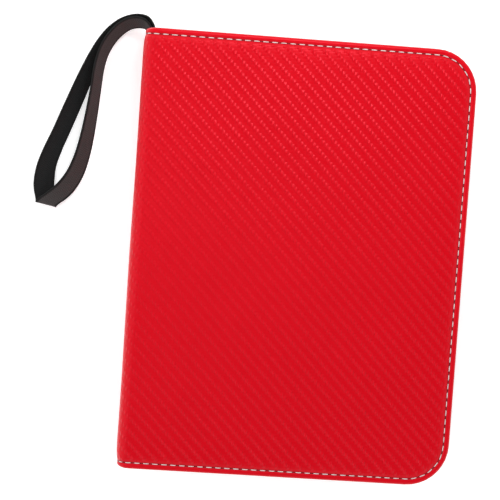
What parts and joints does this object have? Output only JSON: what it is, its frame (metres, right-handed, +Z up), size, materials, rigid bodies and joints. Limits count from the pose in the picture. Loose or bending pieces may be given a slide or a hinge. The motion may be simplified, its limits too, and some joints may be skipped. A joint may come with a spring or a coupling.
{
  "type": "trading card binder",
  "caption": "Zip-around trading card binder with padded embossed covers, a three-ring spine holding pocket pages and a webbing wrist strap.",
  "frame": {"origin": "middle of the closed binder's footprint, on the face of the back cover that lies on the table; the strap is left out", "axes": "+X from the spine to the fore edge, +Y from the foot to the head, +Z up through the closed binder"},
  "size_m": [0.249, 0.2589, 0.038],
  "materials": {
    "leatherette": "red leatherette embossed with a fine twill weave, satin gloss",
    "foam": "thin grey padding foam",
    "board": "grey pressed board",
    "lining": "black woven lining",
    "zip_tape": "black herringbone zip tape",
    "zip_coil": "black nylon coil",
    "ring_metal": "bright nickel plating",
    "slider_metal": "black enamelled zinc",
    "pocket_film": "clear side-loading pockets on white backing",
    "webbing": "black ribbed webbing"
  },
  "bodies": {
    "back_cover": {"back_skin": "leatherette", "back_pad": "foam", "back_board": "board", "back_lining": "lining", "back_edge_roll": "leatherette", "back_zip_tape": "zip_tape", "back_zip_coil": "zip_coil", "zip_stop_back": "ring_metal", "strap_root": "webbing"},
    "spine": {"spine_skin": "leatherette", "spine_board": "board", "spine_lining": "lining", "back_crease": "leatherette", "front_crease": "leatherette", "ring_cover_plate": "ring_metal", "ring_rivet_foot": "ring_metal", "ring_rivet_head": "ring_metal"},
    "front_cover": {"front_skin": "leatherette", "front_pad": "foam", "front_board": "board", "front_lining": "lining", "front_edge_roll": "leatherette", "front_zip_tape": "zip_tape", "front_zip_coil": "zip_coil", "zip_stop_front": "ring_metal"},
    "lower_pages": {"page_01": "pocket_film", "page_02": "pocket_film", "page_03": "pocket_film", "page_04": "pocket_film", "page_05": "pocket_film", "page_06": "pocket_film", "page_07": "pocket_film", "page_08": "pocket_film", "page_09": "pocket_film", "page_10": "pocket_film"},
    "upper_pages": {"page_11": "pocket_film", "page_12": "pocket_film", "page_13": "pocket_film", "page_14": "pocket_film", "page_15": "pocket_film", "page_16": "pocket_film", "page_17": "pocket_film", "page_18": "pocket_film", "page_19": "pocket_film", "page_20": "pocket_film"},
    "lower_half_rings": {"lower_ring_blade": "ring_metal", "lower_half_ring_1": "ring_metal", "lower_half_ring_2": "ring_metal", "lower_half_ring_3": "ring_metal"},
    "upper_half_rings": {"upper_ring_blade": "ring_metal", "upper_half_ring_1": "ring_metal", "upper_half_ring_2": "ring_metal", "upper_half_ring_3": "ring_metal"},
    "ring_lever_head": {"ring_lever_head": "ring_metal"},
    "ring_lever_foot": {"ring_lever_foot": "ring_metal"},
    "zip_slider": {"zip_slider": "slider_metal"},
    "zip_pull": {"zip_pull": "slider_metal"},
    "wrist_strap": {"strap_loop": "webbing"}
  },
  "joints": [
    {"name": "binder_open", "type": "hinge", "parent": "back_cover", "child": "spine", "pos_m": [-0.0937, 0, 0.0013], "axis": [0, -1, 0], "range_deg": [0, 90]},
    {"name": "front_cover_fold", "type": "hinge", "parent": "spine", "child": "front_cover", "pos_m": [-0.0937, 0, 0.0367], "axis": [0, -1, 0], "range_deg": [0, 90]},
    {"name": "lower_pages_turn", "type": "hinge", "parent": "spine", "child": "lower_pages", "pos_m": [-0.0759, 0, 0.019], "axis": [0, -1, 0], "range_deg": [-90, 0]},
    {"name": "upper_pages_turn", "type": "hinge", "parent": "spine", "child": "upper_pages", "pos_m": [-0.0759, 0, 0.019], "axis": [0, -1, 0], "range_deg": [0, 94.4]},
    {"name": "rings_open", "type": "hinge", "parent": "spine", "child": "lower_half_rings", "pos_m": [-0.0891, 0, 0.012], "axis": [0, 1, 0], "range_deg": [0, 12]},
    {"name": "rings_open_upper", "type": "hinge", "parent": "spine", "child": "upper_half_rings", "pos_m": [-0.0891, 0, 0.026], "axis": [0, -1, 0], "range_deg": [0, 12]},
    {"name": "lever_press_head", "type": "hinge", "parent": "spine", "child": "ring_lever_head", "pos_m": [-0.0871, 0.0885, 0.019], "axis": [0, 0, 1], "range_deg": [0, 15]},
    {"name": "lever_press_foot", "type": "hinge", "parent": "spine", "child": "ring_lever_foot", "pos_m": [-0.0871, -0.0885, 0.019], "axis": [0, 0, -1], "range_deg": [0, 15]},
    {"name": "zip_slide", "type": "slide", "parent": "back_cover", "child": "zip_slider", "axis": [1, 0, 0], "range_m": [0, 0.139]},
    {"name": "pull_swing", "type": "hinge", "parent": "zip_slider", "child": "zip_pull", "pos_m": [-0.074, -0.1228, 0.019], "axis": [0, 0, -1], "range_deg": [0, 100]},
    {"name": "strap_swing", "type": "hinge", "parent": "back_cover", "child": "wrist_strap", "pos_m": [-0.0935, 0.1265, 0.012], "axis": [0, 0, 1], "range_deg": [-90, 0], "deforming": ["strap_loop"]}
  ],
  "couplings": [
    {"joint": "front_cover_fold", "follows": "binder_open", "ratio": 1},
    {"joint": "lower_pages_turn", "follows": "binder_open", "ratio": -1},
    {"joint": "upper_pages_turn", "follows": "binder_open", "ratio": 1.0488},
    {"joint": "strap_swing", "follows": "binder_open", "ratio": -1},
    {"joint": "rings_open_upper", "follows": "rings_open", "ratio": 1},
    {"joint": "lever_press_head", "follows": "rings_open", "ratio": 1.25},
    {"joint": "lever_press_foot", "follows": "rings_open", "ratio": 1.25}
  ]
}
